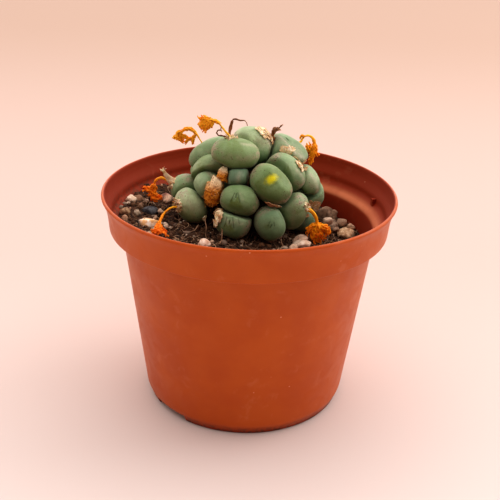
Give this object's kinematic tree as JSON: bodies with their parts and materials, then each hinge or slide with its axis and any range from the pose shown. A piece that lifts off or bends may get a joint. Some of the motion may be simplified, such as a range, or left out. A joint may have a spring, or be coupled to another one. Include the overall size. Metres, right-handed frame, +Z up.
{
  "type": "potted conophytum",
  "caption": "Clump of plump, pressed-together succulent heads with dried flowers, in soil with pebbles, in a round plastic nursery pot with a deep collar.",
  "frame": {"origin": "centre of the pot's foot ring, on the surface that the pot stands on", "axes": "+Z up along the pot's axis; -Y towards the side of the plant that faces the viewer; +X to the viewer's right"},
  "size_m": [0.09, 0.09, 0.0887],
  "materials": {
    "pot_plastic": "satin",
    "soil_peat": "matte",
    "rootstock_bark": "matte",
    "head_skin": "matte",
    "dried_flower": "matte",
    "dried_stalk": "matte",
    "dried_sheath": "matte",
    "withered_husk": "matte",
    "pebble_stone": "matte",
    "pebble_slate": "matte"
  },
  "bodies": {
    "root": {"pot": "pot_plastic", "soil": "soil_peat", "rootstock": "rootstock_bark", "head_01": "head_skin", "head_02": "head_skin", "head_03": "head_skin", "head_04": "head_skin", "head_05": "head_skin", "head_06": "head_skin", "head_07": "head_skin", "head_08": "head_skin", "head_09": "head_skin", "head_10": "head_skin", "head_11": "head_skin", "head_12": "head_skin", "head_13": "head_skin", "head_14": "head_skin", "head_15": "head_skin", "head_16": "head_skin", "head_17": "head_skin", "head_18": "head_skin", "head_19": "head_skin", "head_20": "head_skin", "head_21": "head_skin", "head_22": "head_skin", "head_23": "head_skin", "head_24": "head_skin", "head_25": "head_skin", "head_26": "head_skin", "head_27": "head_skin", "head_28": "head_skin", "head_29": "head_skin", "withered_head_1": "withered_husk", "withered_head_2": "withered_husk", "dried_flower_1": "dried_flower", "dried_flower_2": "dried_flower", "dried_flower_3": "dried_stalk", "dried_flower_4": "dried_stalk", "dried_flower_5": "dried_flower", "dried_flower_6": "dried_flower", "dried_flower_7": "dried_flower", "dried_flower_8": "dried_flower", "dried_sheath_1": "dried_sheath", "dried_sheath_2": "dried_sheath", "dried_sheath_3": "dried_sheath", "dried_sheath_4": "dried_sheath", "pebble_01": "pebble_stone", "pebble_02": "pebble_stone", "pebble_03": "pebble_stone", "pebble_04": "pebble_slate", "pebble_05": "pebble_stone", "pebble_06": "pebble_stone", "pebble_07": "pebble_stone", "pebble_08": "pebble_stone", "pebble_09": "pebble_stone", "pebble_10": "pebble_stone", "pebble_11": "pebble_stone", "pebble_12": "pebble_stone", "pebble_13": "pebble_stone", "pebble_14": "pebble_stone"}
  },
  "joints": []
}
